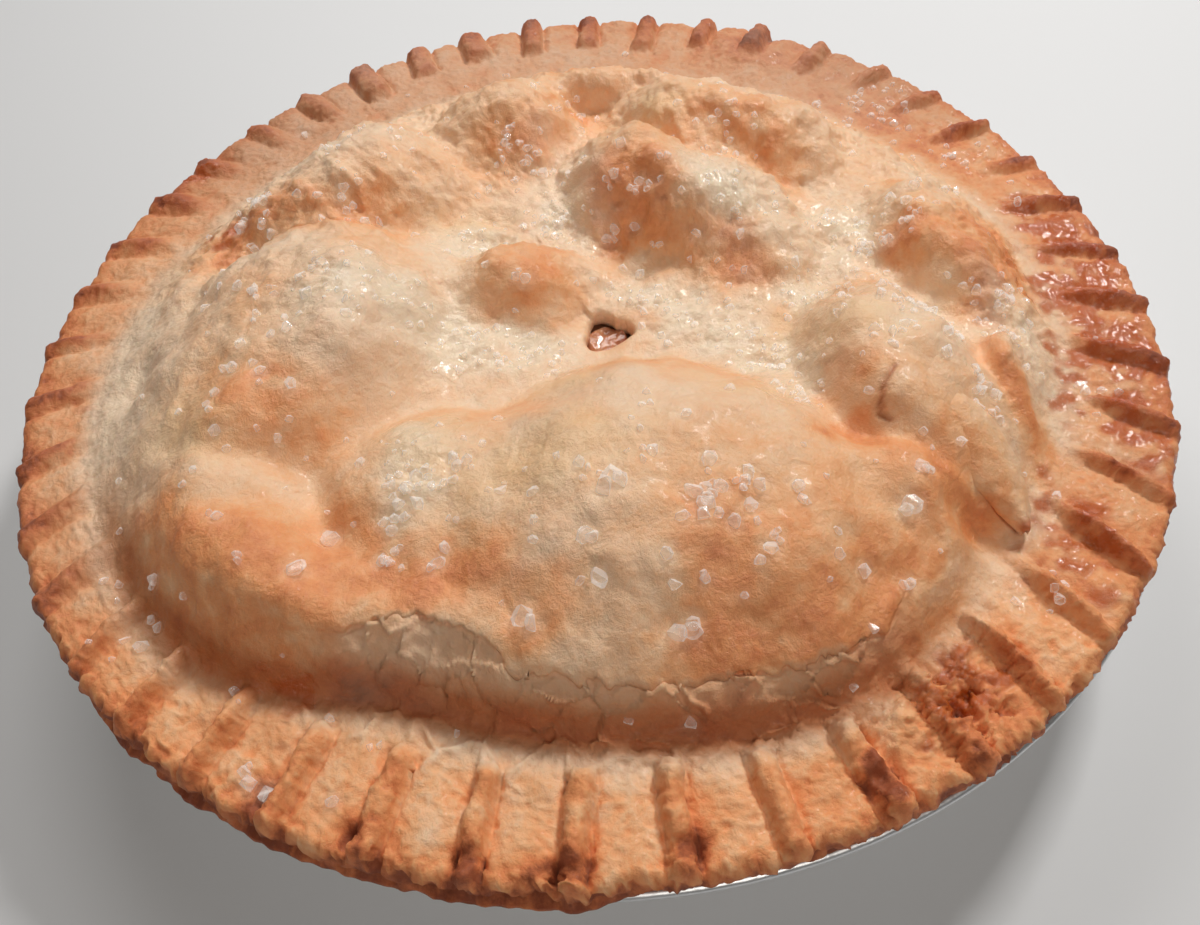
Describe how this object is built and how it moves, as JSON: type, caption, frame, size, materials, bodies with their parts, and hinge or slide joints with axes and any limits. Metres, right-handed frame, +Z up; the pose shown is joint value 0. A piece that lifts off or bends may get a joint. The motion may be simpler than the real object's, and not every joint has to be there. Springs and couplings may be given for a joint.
{
  "type": "two-crust apple pie in a foil tin",
  "caption": "Whole baked apple pie with a closed, bumpy top crust, a crimped rim, a steam hole and coarse sugar, in its round foil tin.",
  "frame": {"origin": "centre of the tin's base, on the table that the pie stands on", "axes": "+Z up through the pie, -Y towards the side with the torn skin, +X to its right"},
  "size_m": [0.2272, 0.2272, 0.0584],
  "materials": {
    "baked_pastry": "satin",
    "cooked_apple": "wet gloss",
    "foil": "satin"
  },
  "bodies": {
    "root": {"foil_tin": "foil", "crust": "baked_pastry", "apple_filling": "cooked_apple"}
  },
  "joints": []
}
